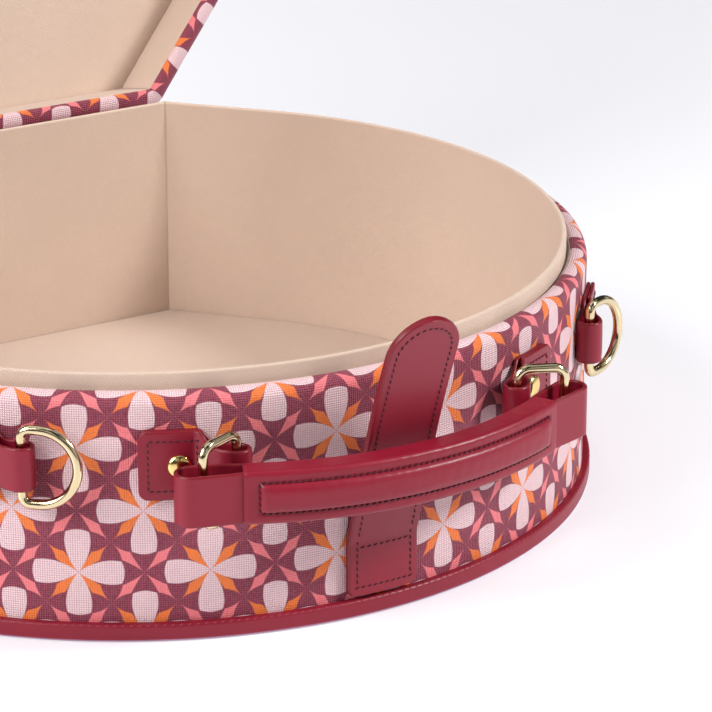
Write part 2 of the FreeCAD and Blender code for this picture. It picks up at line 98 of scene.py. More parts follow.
# The lid, as it is when closed
LID_OPEN = joint("lid_hinge")["range_deg"][1]
HINGE = joint_point("lid_hinge")
LID_GAP = 0.3
LID_H = 39.0
LID_FOOT = SHELL_TOP + LID_GAP
LID_TOP = LID_FOOT + LID_H
LID_WALL = 8.6
LID_WRAP = 3.5  # how far the canvas turns up inside the rim
LID_SIDE_TOP = LID_TOP - 1.5
LID_CEILING = LID_TOP - 5.7
LID_CLOTH = 1.3

# Cloth, canvas and leather
CANVAS = 1.2
SHOULDER_R = 5.0  # outer edge of the padded walls at the parting line
WALL_STEPS = 7  # steps round each rounded edge of the walls
TURN_IN = 8.0  # depth of the wall's turned-over top
TURN_DOWN = 5.5  # how far the canvas comes down inside
FLOOR_GAP = 0.35
CLOTH_LAP = 0.5  # how far the lid's top lining reaches behind its rim lining
TRIM_ROUNDS = (0.8, 1.5)  # the trim's outer edges, the one with the seam last
TRIM_SEAM = (0.45, 0.5)  # from the trim's face and from its edge to the seam
TRIM_STITCH = (3.4, 0.3, 0.5)
REFLECTION_EDGE_H = 0.9  # height of the lilac band under the foot trim, a painted reflection of the floor
STITCH_INSET = 4.0  # from the leather's edge to its seam
X_AXIS = Vector((1, 0, 0))
Z_AXIS = Vector((0, 0, 1))


def polar(radius, degrees, z=0.0):
    """A point at an angle from the middle of the front, towards +X."""
    a = math.radians(degrees)
    return Vector((radius * math.sin(a), -radius * math.cos(a), z))


def turned(degrees, axis):
    return Matrix.Rotation(math.radians(degrees), 3, axis)


def circle(count):
    return [math.tau * k / count for k in range(count)]


def smooth(share):
    return share * share * (3 - 2 * share)


# Node trees

class Num:
    """A number in a node tree, so that a pattern can be written as a formula."""

    def __init__(self, tree, out):
        self.tree = tree
        self.out = out

    def op(self, kind, *others, clamp=False):
        node = self.tree.nodes.new("ShaderNodeMath")
        node.operation = kind
        node.use_clamp = clamp
        for socket, value in zip(node.inputs, (self,) + others):
            feed(self.tree, socket, value)
        return Num(self.tree, node.outputs[0])

    def __add__(self, other):
        return self.op("ADD", other)

    def __sub__(self, other):
        return self.op("SUBTRACT", other)

    def __mul__(self, other):
        return self.op("MULTIPLY", other)

    def __truediv__(self, other):
        return self.op("DIVIDE", other)

    def spread(self, low, high):
        """Maps 0..1 to low..high."""
        return self * (high - low) + low

    def soft_step(self, width):
        """0 below zero, 1 above, over a narrow width."""
        return (self * (1.0 / width)).op("ADD", 0.5, clamp=True)


def feed(tree, socket, value):
    if isinstance(value, Num):
        tree.links.new(value.out, socket)
    else:
        socket.default_value = value


class Shader:
    """A principled material that is built up from procedural layers."""

    def __init__(self, name, rough, **settings):
        self.material = bpy.data.materials.new(name)
        self.material.use_nodes = True
        self.tree = self.material.node_tree
        self.bsdf = self.tree.nodes["Principled BSDF"]
        self.bsdf.inputs["Roughness"].default_value = rough
        for key, value in settings.items():
            self.bsdf.inputs[key.replace("_", " ")].default_value = value

    def node(self, kind, **inputs):
        made = self.tree.nodes.new(kind)
        for key, value in inputs.items():
            feed(self.tree, made.inputs[key.replace("_", " ")], value)
        return made

    def place(self):
        return Num(self.tree, self.node("ShaderNodeTexCoord").outputs["Object"])

    def uv(self):
        """Cloth coordinates of the surface, in millimetres."""
        both = self.node("ShaderNodeSeparateXYZ")
        self.tree.links.new(self.node("ShaderNodeTexCoord").outputs["UV"], both.inputs[0])
        return Num(self.tree, both.outputs["X"]) * 1000.0, Num(self.tree, both.outputs["Y"]) * 1000.0

    def noise(self, scale, detail=3.0, rough=0.5):
        made = self.node("ShaderNodeTexNoise", Scale=scale, Detail=detail, Roughness=rough)
        feed(self.tree, made.inputs["Vector"], self.place())
        return Num(self.tree, made.outputs["Fac"])

    def cells(self, scale):
        made = self.node("ShaderNodeTexVoronoi", Scale=scale)
        feed(self.tree, made.inputs["Vector"], self.place())
        return Num(self.tree, made.outputs["Distance"])

    def mix(self, share, a, b, blend="MIX"):
        made = self.node("ShaderNodeMix")
        made.data_type = "RGBA"
        made.blend_type = blend
        feed(self.tree, made.inputs["Factor"], share)
        colours = [s for s in made.inputs if s.type == "RGBA"]
        feed(self.tree, colours[0], a)
        feed(self.tree, colours[1], b)
        return Num(self.tree, next(s for s in made.outputs if s.type == "RGBA"))

    def colour(self, value):
        feed(self.tree, self.bsdf.inputs["Base Color"], value)

    def rough(self, value):
        feed(self.tree, self.bsdf.inputs["Roughness"], value)

    def bump(self, *layers):
        """Layers are (height, strength, distance in metres)."""
        last = None
        for height, strength, distance in layers:
            made = self.node("ShaderNodeBump", Strength=strength, Distance=distance)
            feed(self.tree, made.inputs["Height"], height)
            if last:
                self.tree.links.new(last.outputs[0], made.inputs["Normal"])
            last = made
        self.tree.links.new(last.outputs[0], self.bsdf.inputs["Normal"])


def rgb(r, g, b):
    return (r, g, b, 1.0)


PLUM = rgb(0.15, 0.014, 0.034)
# a painted highlight on the raised knots of the plum ground's weave
PLUM_KNOT_HIGHLIGHT = rgb(0.50, 0.11, 0.17)
PETAL = rgb(0.98, 0.76, 0.78)
PETAL_SHADE = rgb(0.66, 0.36, 0.40)
ORANGE = rgb(0.93, 0.22, 0.05)
CORAL = rgb(0.92, 0.23, 0.25)
CRIMSON = rgb(0.27, 0.0065, 0.027)
CRIMSON_DARK = rgb(0.175, 0.005, 0.014)
EDGE_PAINT = rgb(0.19, 0.008, 0.016)
THREAD = rgb(0.032, 0.004, 0.008)
# the trim's thread: burgundy of its own, made paler as a painted glint on its stitches
TRIM_THREAD_GLINT = rgb(0.21, 0.03, 0.042)
BEIGE = rgb(0.715, 0.55, 0.445)
BEIGE_DEEP = rgb(0.44, 0.315, 0.24)
BRASS = rgb(0.72, 0.60, 0.38)

# The print: flowers and stars take turns on a square lattice
HALF_CELL = 27.0  # from a flower's centre to the next star's centre
FLOWER_U = 33.5  # a flower centre along the wall, from the middle of the front
FLOWER_V = 29.3  # its height on the wall
PETAL_W = 0.197
PETAL_REACH = 0.70
KITE_CORNER = 0.27
KITE_TIP = 0.505
KITE_W = 0.067
THREAD_PITCH = 0.98


def canvas_material(name, shift=(0.0, 0.0)):
    """Coated canvas with an embossed weave and a printed pattern, with the weave's raised knots painted
    lighter as highlight and its gaps painted darker as shade.
    """
    s = Shader(name, 0.46, Specular_IOR_Level=0.3, Sheen_Weight=0.03, Sheen_Roughness=0.5)
    u, v = s.uv()
    x = (u - (FLOWER_U + shift[0])) / HALF_CELL
    y = (v - (FLOWER_V + shift[1])) / HALF_CELL
    column = x.op("ROUND")
    row = y.op("ROUND")
    dx = (x - column).op("ABSOLUTE")
    dy = (y - row).op("ABSOLUTE")
    star = (column + row).op("PINGPONG", 1.0)
    a = dx.op("MAXIMUM", dy)
    b = dx.op("MINIMUM", dy)
    t = a + (star * (a * -2.0 + 1.0))
    width = (t * 3.08).op("SINE").op("POWER", 0.85) * PETAL_W
    inside = (width - b).soft_step(0.014)
    reach = ((t * -1.0) - (b * b * 1.3) + PETAL_REACH).soft_step(0.014)
    petal = inside * reach
    along = (dx + dy) * 0.5
    across = (dx - dy).op("ABSOLUTE") * 0.5
    outer = (((along * -1.0) + KITE_TIP) / (KITE_TIP - KITE_CORNER)).op("MAXIMUM", 0.0).op("POWER", 2.3)
    inner = (along / KITE_CORNER).op("POWER", star * 0.5 + 0.9)
    limit = outer.op("MINIMUM", inner) * KITE_W - 0.004
    kite = (limit - across).soft_step(0.012)
    warp = (u * (math.pi / THREAD_PITCH)).op("SINE").op("ABSOLUTE")
    weft = (v * (math.pi / THREAD_PITCH)).op("SINE").op("ABSOLUTE")
    knot = (warp * weft).op("POWER", 0.55)
    wear = s.noise(26.0, 4.0)
    fine = s.noise(900.0, 2.0)
    # Painted light on the weave: on the plum ground its raised knots get a painted highlight, and on the
    # plum and the petals alike its gaps are darker as painted shade.
    plum = s.mix(knot * fine.spread(0.05, 1.2), PLUM, PLUM_KNOT_HIGHLIGHT)
    pale = s.mix(knot, PETAL_SHADE, PETAL)
    bright = s.mix(star, ORANGE, CORAL)
    inked = s.mix(kite, plum, bright)
    inked = s.mix(petal, inked, pale)
    s.colour(s.mix(wear.spread(0.0, 0.16), inked, rgb(0.9, 0.8, 0.8), "MULTIPLY"))
    s.rough(fine.spread(0.38, 0.56))
    s.bump((knot, 1.0, 0.0004), (fine, 0.4, 0.0002), (wear, 0.25, 0.0004))
    return s.material


def leather_material(name, light, dark, rough=0.36):
    """Smooth finished leather with a fine grain."""
    s = Shader(name, rough, Specular_IOR_Level=0.36, Coat_Weight=0.06, Coat_Roughness=0.25)
    cloud = s.noise(38.0, 4.0, 0.55)
    fine = s.noise(1500.0, 3.0, 0.6)
    pores = s.cells(1700.0)
    s.colour(s.mix(cloud * 0.55 + fine * 0.3, light, dark))
    s.rough(fine.spread(rough - 0.05, rough + 0.13))
    s.bump((pores, 0.16, 0.00012), (fine, 0.10, 0.0001), (cloud, 0.12, 0.0006))
    return s.material


def cloth_material(name, light, dark, pitch=1.1):
    """Fine twill lining: slanted ribs with slubs."""
    s = Shader(name, 0.82, Specular_IOR_Level=0.25, Sheen_Weight=0.12, Sheen_Roughness=0.6)
    u, v = s.uv()
    rib = ((u + v) * (math.pi / pitch)).op("SINE").op("ABSOLUTE")
    cut = ((u - v) * (math.pi / (pitch * 1.7))).op("SINE").op("ABSOLUTE")
    slub = s.noise(260.0, 4.0, 0.6)
    cloud = s.noise(9.0, 4.0, 0.55)
    tone = rib * 0.6 + cut * 0.25 + slub * 0.3
    s.colour(s.mix(s.mix(0.5, cloud, tone), dark, light))
    s.bump((rib * 0.7 + cut * 0.3, 0.8, 0.0002), (slub, 0.25, 0.0002))
    return s.material


def thread_material(name, tint):
    s = Shader(name, 0.62, Specular_IOR_Level=0.3)
    twist = s.noise(2600.0, 2.0)
    s.colour(s.mix(twist, tint, rgb(min(1.0, tint[0] * 1.9), tint[1] * 1.9, tint[2] * 1.9)))
    s.bump((twist, 0.5, 0.0001))
    return s.material


def brass_material(name, tint, rough):
    s = Shader(name, rough, Metallic=1.0)
    haze = s.noise(420.0, 4.0, 0.6)
    cloud = s.noise(60.0, 3.0)
    s.colour(s.mix(cloud * 0.5, tint, rgb(tint[0] * 0.86, tint[1] * 0.8, tint[2] * 0.7)))
    s.rough(haze.spread(rough * 0.7, rough * 1.5))
    s.bump((haze, 0.02, 0.00005))
    return s.material


def board_material(name, tint):
    s = Shader(name, 0.9)
    fibre = s.noise(700.0, 5.0, 0.7)
    s.colour(s.mix(fibre, tint, rgb(tint[0] * 0.7, tint[1] * 0.7, tint[2] * 0.7)))
    s.bump((fibre, 0.3, 0.0003))
    return s.material


# Mesh tools

def link(name, data):
    made = bpy.data.objects.new(name, data)
    bpy.context.scene.collection.objects.link(made)
    return made


def add_piece(name, points, faces, uvs, materials, body, face_material=None, sharp=38.0):
    """A mesh piece from points in millimetres, with a uv pair for each face corner.

    It rides on a body, unless the body is None.
    """
    mesh = bpy.data.meshes.new(name)
    mesh.from_pydata([tuple(p * MM) for p in points], [], faces)
    layer = mesh.uv_layers.new(name="cloth")
    layer.data.foreach_set("uv", [c * MM for pair in uvs for c in pair])
    for material in materials:
        mesh.materials.append(material)
    if face_material:
        mesh.polygons.foreach_set("material_index", face_material)
    work = bmesh.new()
    work.from_mesh(mesh)
    bmesh.ops.remove_doubles(work, verts=work.verts, dist=1e-7)
    bmesh.ops.recalc_face_normals(work, faces=work.faces)
    work.to_mesh(mesh)
    work.free()
    mesh.shade_smooth()
    mesh.set_sharp_from_angle(angle=math.radians(sharp))
    piece = link(name, mesh)
    if body:
        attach(piece, body)
    return piece


def add_grid(name, rows, row_uvs, materials, body, close_v=True, column_material=None):
    """Quads between closed rows of points, whose uvs have one more column.

    With close_v the last row joins the first, and there is one more row of uvs. Without it the
    first and last rows are filled in.
    """
    n = len(rows[0])
    m = len(rows)
    points = [p for row in rows for p in row]
    faces = []
    uvs = []
    kinds = []
    for j in range(m if close_v else m - 1):
        for i in range(n):
            jj = (j + 1) % m
            ii = (i + 1) % n
            faces.append((j * n + i, j * n + ii, jj * n + ii, jj * n + i))
            uvs += [row_uvs[j][i], row_uvs[j][i + 1], row_uvs[j + 1][i + 1], row_uvs[j + 1][i]]
            kinds.append(column_material[i] if column_material else 0)
    if not close_v:
        for row, order in ((0, range(n)), (m - 1, range(n - 1, -1, -1))):
            faces.append(tuple(row * n + i for i in order))
            uvs += [row_uvs[row][i] for i in order]
            kinds.append(0)
    return add_piece(name, points, faces, uvs, materials, body, kinds)


def rounded(corner_list, steps):
    """A closed outline from (x, y, radius) corners."""
    out = []
    count = len(corner_list)
    for i, (x, y, r) in enumerate(corner_list):
        p = Vector((x, y))
        u = (Vector(corner_list[i - 1][:2]) - p).normalized()
        v = (Vector(corner_list[(i + 1) % count][:2]) - p).normalized()
        if r == 0:
            out.append(p)
            continue
        half = u.angle(v) / 2
        middle = p + (u + v).normalized() * (r / math.sin(half))
        start = p + u * (r / math.tan(half)) - middle
        end = p + v * (r / math.tan(half)) - middle
        turn = start.angle_signed(end)
        for k in range(steps + 1):
            a = turn * k / steps
            spin = Matrix.Rotation(-a, 2)
            out.append(middle + spin @ start)
    return out


MARGIN = 0.35


def dense(outline_points, step):
    """Adds points along the straight stretches of a closed outline, close in at both ends."""
    out = []
    for a, b in zip(outline_points, outline_points[1:] + outline_points[:1]):
        out.append(a)
        length = (b - a).length
        if length > 3 * MARGIN:
            middle = length - 2 * MARGIN
            count = max(1, math.ceil(middle / step))
            stops = [MARGIN] + [MARGIN + middle * k / count for k in range(1, count + 1)]
            out += [a + (b - a) * (s / length) for s in stops]
    return out


def lengths(points, closed):
    """Length so far at each point, with the whole length last if closed."""
    total = [0.0]
    pairs = zip(points, points[1:] + points[:1]) if closed else zip(points, points[1:])
    for a, b in pairs:
        total.append(total[-1] + (b - a).length)
    return total


# The plan shape as rings of points

ARC_STEPS = 130
RUN_STEPS = 14
BEND_STEPS = 6
BACK_STEPS = 28


def half_plan(offset):
    """Points and outward directions from the middle of the front to the middle of the back, at +X."""
    r = ROUND_R - offset
    y = BACK_Y - offset
    bend = max(CORNER_R - offset, SHARPEST)
    tangent = polar(r, TANGENT_DEG)
    run = polar(1.0, TANGENT_DEG + 90)
    corner = tangent + run * ((y - tangent.y) / run.y)
    turn = math.acos(-run.x)
    reach = bend * math.tan(turn / 2)
    a = corner - run * reach
    b = corner - Vector((reach, 0, 0))
    middle = b - Vector((0, bend, 0))
    side = polar(1.0, TANGENT_DEG)
    first = math.atan2(side.y, side.x)
    out = []
    for i in range(ARC_STEPS):
        degrees = TANGENT_DEG * i / ARC_STEPS
        out.append((polar(r, degrees), polar(1.0, degrees)))
    for i in range(RUN_STEPS):
        out.append((tangent + (a - tangent) * (i / RUN_STEPS), side))
    for i in range(BEND_STEPS):
        angle = first + (math.pi / 2 - first) * i / BEND_STEPS
        way = Vector((math.cos(angle), math.sin(angle), 0))
        out.append((middle + way * bend, way))
    for i in range(BACK_STEPS + 1):
        out.append((Vector((b.x * (1 - i / BACK_STEPS), y, 0)), Vector((0, 1, 0))))
    return out


def plan(offset):
    """The closed plan shape from the middle of the back, by -X and the front, to +X."""
    half = half_plan(offset)
    mirror = [(Vector((-p.x, p.y, 0)), Vector((-d.x, d.y, 0))) for p, d in half]
    return mirror[:0:-1] + half[:-1]


def plan_lengths():
    """Length along the outer plan shape, 0 at the middle of the front."""
    total = lengths([p for p, _ in plan(0.0)], True)
    return [t - total[-1] / 2 for t in total]


ALONG = plan_lengths()


LID_TURN = turned(-LID_OPEN, "X")


def opened(point):
    """Where a point of the closed lid is at rest."""
    return HINGE + LID_TURN @ (point - HINGE)


# Slight unevenness, as waves: height, length along the wall and up it, seed
WALL_SWELL = ((0.32, 46.0, 30.0, 3.0), (0.1, 11.0, 9.0, 8.0))
LID_SWELL = ((0.3, 40.0, 26.0, 33.0), (0.1, 10.0, 8.0, 38.0))
LINING_SWELL = ((0.22, 38.0, 60.0, 21.0),)
TRIM_SWELL = ((0.12, 30.0, math.inf, 5.0),)


def swell(waves, u, z):
    return sum(rise * noise.noise(Vector((u / wide, z / high, seed))) for rise, wide, high, seed in waves)


def sweep(name, profile, materials, body, waves, kinds=None, foot_v=None):
    """Sweeps a closed outline of (inward offset, height) points round the plan shape."""
    rows = []
    run = lengths(profile, True)
    start = profile[0].y if foot_v is None else foot_v
    for p in profile:
        row = []
        for (point, way), u in zip(plan(p.x), ALONG):
            spot = point + way * swell(waves, u, p.y) + Z_AXIS * p.y
            row.append(opened(spot) if body == "lid" else spot)
        rows.append(row)
    uvs = [[(u, start + v) for u in ALONG] for v in run]
    piece = add_grid(name, rows, uvs, materials, body)
    if kinds:
        for poly in piece.data.polygons:
            poly.material_index = kinds(poly.center / MM)
    return piece


FACE_SHRINK = (1.0, 0.985, 0.96, 0.92, 0.86, 0.78, 0.66, 0.52, 0.36, 0.18, 0.0)
PLATE_MIDDLE = Vector((0, -10, 0))


def plate(name, offset, z0, z1, material, body, edge):
    """A thin board of the plan shape, with its face at z1."""
    thick = z1 - z0
    stations = [(0.0, 0.0, z0), (0.5, 0.0, z0), (1.0, edge, z0), (1.0, 0.0, z0 + thick * 0.3),
                (1.0, 0.0, z1 - thick * 0.35), (1.0, edge * 0.3, z1 - thick * 0.1)]
    stations += [(share, edge, z1) for share in FACE_SHRINK]
    rows = []
    uvs = []
    for share, inset, z in stations:
        row = []
        for point, _ in plan(offset + inset):
            spot = PLATE_MIDDLE + (point - PLATE_MIDDLE) * share
            row.append(Vector((spot.x, spot.y, z)))
        flat = [(p.x, p.y) for p in row]
        uvs.append(flat + flat[:1])
        rows.append([opened(p) for p in row] if body == "lid" else row)
    return add_grid(name, rows, uvs + uvs[:1], [material], body, close_v=False)


# Straps: a strip of leather that follows a path

class Strip:
    """A centre line with a fixed sideways direction."""

    def __init__(self, path, side, flip=1.0):
        self.path = path
        self.side = side
        self.flip = flip
        self.run = lengths(path, False)

    def length(self):
        return self.run[-1]

    def at(self, s):
        """Point, direction and outward direction at a length along the strip."""
        s = min(max(s, 0.0), self.length())
        k = 1
        while k < len(self.run) - 1 and self.run[k] < s:
            k += 1
        span = self.run[k] - self.run[k - 1]
        share = (s - self.run[k - 1]) / span if span else 0.0
        point = self.path[k - 1].lerp(self.path[k], share)
        low = self.path[max(k - 2, 0)].lerp(self.path[max(k - 1, 1)], share)
        after = min(k + 1, len(self.path) - 1)
        high = self.path[after - 1].lerp(self.path[after], share)
        way = (high - low).normalized()
        return point, way, way.cross(self.side).normalized() * self.flip

    def spot(self, s, across, out, bow=0.0):
        point, _, normal = self.at(s)
        return point + self.side * across + normal * (out - bow * across * across)


FACE_SHARES = (-1.0, -0.97, -0.9, -0.75, -0.5, -0.25, 0.0, 0.25, 0.5, 0.75, 0.9, 0.97, 1.0)
EDGE_COLUMNS = 7


def section(half, thick, edge, crown, groove):
    """Outline of a strap's cut end: (across, out), with rounded edges, the outer face first."""
    flat = half - edge
    h = thick / 2
    out = [(flat * k, h + crown * (1 - k * k)) for k in FACE_SHARES]
    arc = []
    for step in range(1, EDGE_COLUMNS + 1):
        a = math.pi * step / (EDGE_COLUMNS + 1)
        dip = groove if step == (EDGE_COLUMNS + 1) // 2 else 0.0
        arc.append((flat + edge * math.sin(a) - dip, h * math.cos(a)))
    out += arc
    out += [(-flat * k, -h) for k in FACE_SHARES]
    out += [(-x, -y) for x, y in arc]
    return out


def strap(name, strip, half, thick, body, edge=0.9, step=1.6, crown=0.0, groove=0.0, bow=None,
          fine_ends=(0.0, 0.0)):
    """A leather strip with painted edges.

    half and bow are functions of the length along it. Near its ends, the steps are finer over
    the lengths in fine_ends.
    """
    stops = []
    total = strip.length()
    s = 0.0
    while s < total - 1e-6:
        stops.append(s)
        close = s < fine_ends[0] or s > total - fine_ends[1]
        s += step * (0.25 if close else 1.0)
    stops.append(total)
    rows = []
    uvs = []
    for s in stops:
        cut = section(half(s), thick, edge, crown, groove)
        curve = bow(s) if bow else 0.0
        rows.append([strip.spot(s, x, y, curve) for x, y in cut])
        run = lengths([Vector(c) for c in cut], True)
        uvs.append([(r, s) for r in run])
    columns = ([0] * (len(FACE_SHARES) - 1) + [1] * (EDGE_COLUMNS + 1)) * 2
    return add_grid(name, rows, uvs, [crimson, painted_edge], body, close_v=False,
                    column_material=columns)


# Stitches: short bowed threads, sunk at both ends

def stitch_points(path, normals, pitch):
    """Centres, directions and normals of the stitches along a path."""
    run = lengths(path, False)
    count = max(1, round(run[-1] / pitch))
    out = []
    k = 1
    for i in range(count):
        s = run[-1] * (i + 0.5) / count
        while run[k] < s:
            k += 1
        share = (s - run[k - 1]) / (run[k] - run[k - 1])
        way = (path[k] - path[k - 1]).normalized()
        normal = normals[k - 1].lerp(normals[k], share).normalized()
        out.append((path[k - 1].lerp(path[k], share), way, normal))
    return out


# Rings round a stitch: place along it, width and height, as shares of its length and thickness
STITCH_RINGS = ((-0.5, 0.45, -0.9), (-0.34, 0.95, 0.1), (0.0, 1.0, 0.35), (0.34, 0.95, 0.1),
                (0.5, 0.45, -0.9))
STITCH_SIDES = 6


def stitches(name, seams, material, body, pitch=3.0, size=0.31, fill=0.72, lean=0.16):
    """One mesh of all the stitches on some seams. A seam is a path and its outward directions."""
    n = STITCH_SIDES
    points = []
    faces = []
    for path, normals in seams:
        for spot, way, normal in stitch_points(path, normals, pitch):
            side = normal.cross(way)
            base = len(points)
            for along, width, lift in STITCH_RINGS:
                middle = spot + way * (along * fill * pitch) + normal * (lift * size)
                middle += side * (along * lean * pitch)
                for a in circle(n):
                    points.append(middle + (side * math.cos(a) + normal * math.sin(a)) * (size * width))
            last = base + (len(STITCH_RINGS) - 1) * n
            for low in range(base, last, n):
                for k in range(n):
                    kk = (k + 1) % n
                    faces.append((low + k, low + kk, low + n + kk, low + n + k))
            faces.append(tuple(base + k for k in range(n - 1, -1, -1)))
            faces.append(tuple(last + k for k in range(n)))
    uvs = [(0.0, 0.0) for face in faces for _ in face]
    return add_piece(name, points, faces, uvs, [material], body, sharp=70.0)


SEAM_STEP = 0.5


def seam_on_strip(strip, stops, out, bow=None):
    """A seam on a strap's outer face, through (along, across) stops."""
    path = []
    normals = []
    for (s0, a0), (s1, a1) in zip(stops, stops[1:]):
        count = max(2, math.ceil(math.hypot(s1 - s0, a1 - a0) / SEAM_STEP))
        for i in range(count + 1):
            s = s0 + (s1 - s0) * i / count
            a = a0 + (a1 - a0) * i / count
            path.append(strip.spot(s, a, out, bow(s) if bow else 0.0))
            normals.append(strip.at(s)[2])
    keep = [0] + [i for i in range(1, len(path)) if (path[i] - path[i - 1]).length > 1e-6]
    return [path[i] for i in keep], [normals[i] for i in keep]


def half_turn(count):
    """Angles from one side round the tip to the other."""
    return [math.radians(-90 + 180 * k / count) for k in range(count + 1)]


# Materials

canvas = canvas_material("printed_canvas")
lid_canvas = canvas_material("printed_canvas_lid", (0.0, 12.0))
crimson = leather_material("crimson_leather", CRIMSON, CRIMSON_DARK)
painted_edge = leather_material("painted_edge", EDGE_PAINT, CRIMSON_DARK, 0.3)
trim_leather = leather_material("trim_leather", CRIMSON, CRIMSON_DARK, 0.4)
lining = cloth_material("beige_twill", BEIGE, BEIGE_DEEP)
floor_cloth = cloth_material("beige_twill_floor", BEIGE, BEIGE_DEEP, 0.9)
dark_thread = thread_material("dark_thread", THREAD)
# The trim's stitches are coloured paler than their burgundy thread, as a painted glint on them.
trim_thread_glint = thread_material("trim_thread_glint", TRIM_THREAD_GLINT)
brass = brass_material("pale_brass", BRASS, 0.13)
stud_brass = brass_material("stud_brass", rgb(0.86, 0.62, 0.25), 0.16)
steel = brass_material("plain_steel", rgb(0.55, 0.55, 0.56), 0.3)
greyboard = board_material("grey_board", rgb(0.45, 0.42, 0.38))
wadding = board_material("white_wadding", rgb(0.85, 0.84, 0.80))
base_cloth = cloth_material("base_cloth", rgb(0.24, 0.02, 0.04), rgb(0.14, 0.01, 0.02))
# A lilac band along the foot trim's lower edge: a painted reflection of the floor.
floor_reflection_edge = leather_material("floor_reflection_edge", rgb(0.42, 0.2, 0.32), rgb(0.3, 0.12, 0.2), 0.4)


def paint_cad_nodes():
    """Materials for the CAD nodes that stay in view or inside."""
    chosen = (
        (base_cloth, ("base_cover",)),
        (greyboard, ("base_board", "wall_board", "collar_board", "lid_rim_board", "lid_top_board")),
        (wadding, ("wall_padding", "lid_padding", "handle_core")),
        (steel, ("stud_washers", "lid_magnet", "flap_magnet")),
    )
    for material, nodes in chosen:
        for node in nodes:
            part = bpy.data.objects[node]
            for place in part.material_slots:
                place.material = material
            if not part.material_slots:
                part.data.materials.append(material)


# The base

def build_wall():
    under = TURN_IN - CANVAS
    profile = rounded([
        (0, SHELL_FOOT, 0), (0, SHELL_TOP, SHOULDER_R), (TURN_IN, SHELL_TOP, 2.0),
        (TURN_IN, SHELL_TOP - TURN_DOWN, 0), (under, SHELL_TOP - TURN_DOWN, 0),
        (under, SHELL_TOP - CANVAS, 0.8), (CANVAS, SHELL_TOP - CANVAS, SHOULDER_R - CANVAS),
        (CANVAS, SHELL_FOOT, 0)], WALL_STEPS)
    wall = sweep("printed_wall", dense(profile, 3.0), [canvas], "base", WALL_SWELL)
    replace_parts(wall, "outer_cover")


def build_wall_lining():
    profile = rounded([
        (COLLAR_OUT, SHELL_FOOT, 0), (COLLAR_OUT, COLLAR_TOP, 1.0), (WALL, COLLAR_TOP, 0.9),
        (WALL, SHELL_FOOT, 0)], 5)
    piece = sweep("wall_lining_cloth", dense(profile, 5.0), [lining], "base", LINING_SWELL)
    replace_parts(piece, "wall_lining")
    floor = plate("floor_lining_cloth", WALL + FLOOR_GAP, SHELL_FOOT, FLOOR_TOP, floor_cloth, "base",
                  0.5)
    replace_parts(floor, "floor_lining")


def trim_profile(z0, z1):
    foot_round, top_round = TRIM_ROUNDS
    edge = [(0, z0, 0), (-TRIM_OUT, z0, foot_round), (-TRIM_OUT, z1, top_round), (0, z1, 0.3)]
    return dense(rounded(edge, 5), 1.5)


def plan_seam(offset, z, tilt, body):
    """A seam round the whole plan shape, with normals that lean by tilt towards +Z."""
    path = []
    normals = []
    for (point, way), u in zip(plan(offset), ALONG):
        spot = point + Z_AXIS * z + way * swell(TRIM_SWELL, u, z)
        normal = (way + Z_AXIS * tilt).normalized()
        tip = spot + normal
        path.append(opened(spot) if body == "lid" else spot)
        normals.append(opened(tip) - opened(spot) if body == "lid" else normal)
    return path + path[:1], normals + normals[:1]


def build_trim(name, node, body, z0, up, materials, kinds=None):
    """A leather trim with its seam. up is 1 from the box's foot and -1 from the lid's top."""
    z1 = z0 + up * TRIM_H
    trim = sweep(name, trim_profile(z0, z1), materials, body, TRIM_SWELL, kinds)
    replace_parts(trim, node)
    seam = plan_seam(-TRIM_OUT + TRIM_SEAM[0], z1 - up * TRIM_SEAM[1], up, body)
    stitches(name.split("_")[0] + "_trim_stitches", [seam], trim_thread_glint, body, *TRIM_STITCH)


# The lid

def build_lid():
    inner = LID_WALL - CANVAS
    wrap = LID_FOOT + LID_WRAP
    profile = rounded([
        (0, LID_SIDE_TOP, 0), (0, LID_FOOT, SHOULDER_R), (LID_WALL, LID_FOOT, 2.6), (LID_WALL, wrap, 0.5),
        (inner, wrap, 0), (inner, LID_FOOT + CANVAS, 1.4), (CANVAS, LID_FOOT + CANVAS, SHOULDER_R - CANVAS),
        (CANVAS, LID_SIDE_TOP, 0)], WALL_STEPS)
    side = sweep("printed_lid_side", dense(profile, 3.0), [lid_canvas], "lid", LID_SWELL,
                 foot_v=-LID_TOP)
    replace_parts(side, "lid_cover")
    plate("printed_lid_top", 0.0, LID_TOP - CANVAS, LID_TOP, lid_canvas, "lid", 0.8)
    walls = rounded([(inner, wrap, 0), (LID_WALL, wrap - 0.3, 0.4), (LID_WALL, LID_CEILING, 0),
                     (inner, LID_CEILING, 0)], 3)
    rim = sweep("lid_rim_cloth", dense(walls, 5.0), [lining], "lid", LINING_SWELL)
    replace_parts(rim, "lid_rim_lining")
    top = plate("lid_top_cloth", LID_WALL - CLOTH_LAP, LID_CEILING + LID_CLOTH, LID_CEILING, lining, "lid",
                0.4)
    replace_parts(top, "lid_top_lining")
    build_trim("lid_edge_trim", "lid_trim", "lid", LID_TOP, -1.0, [trim_leather])


HINGE_HALF = corners("hinge_leaf_base")[1].x
HINGE_FOOT = corners("hinge_leaf_base")[0].z
HINGE_T = corners("hinge_leaf_base")[1].y - corners("hinge_leaf_base")[0].y


HINGE_BEND = 1.3  # half the length that bends
HINGE_STEPS = 16
HINGE_SEAM = 22.0  # length of the seam's two sides


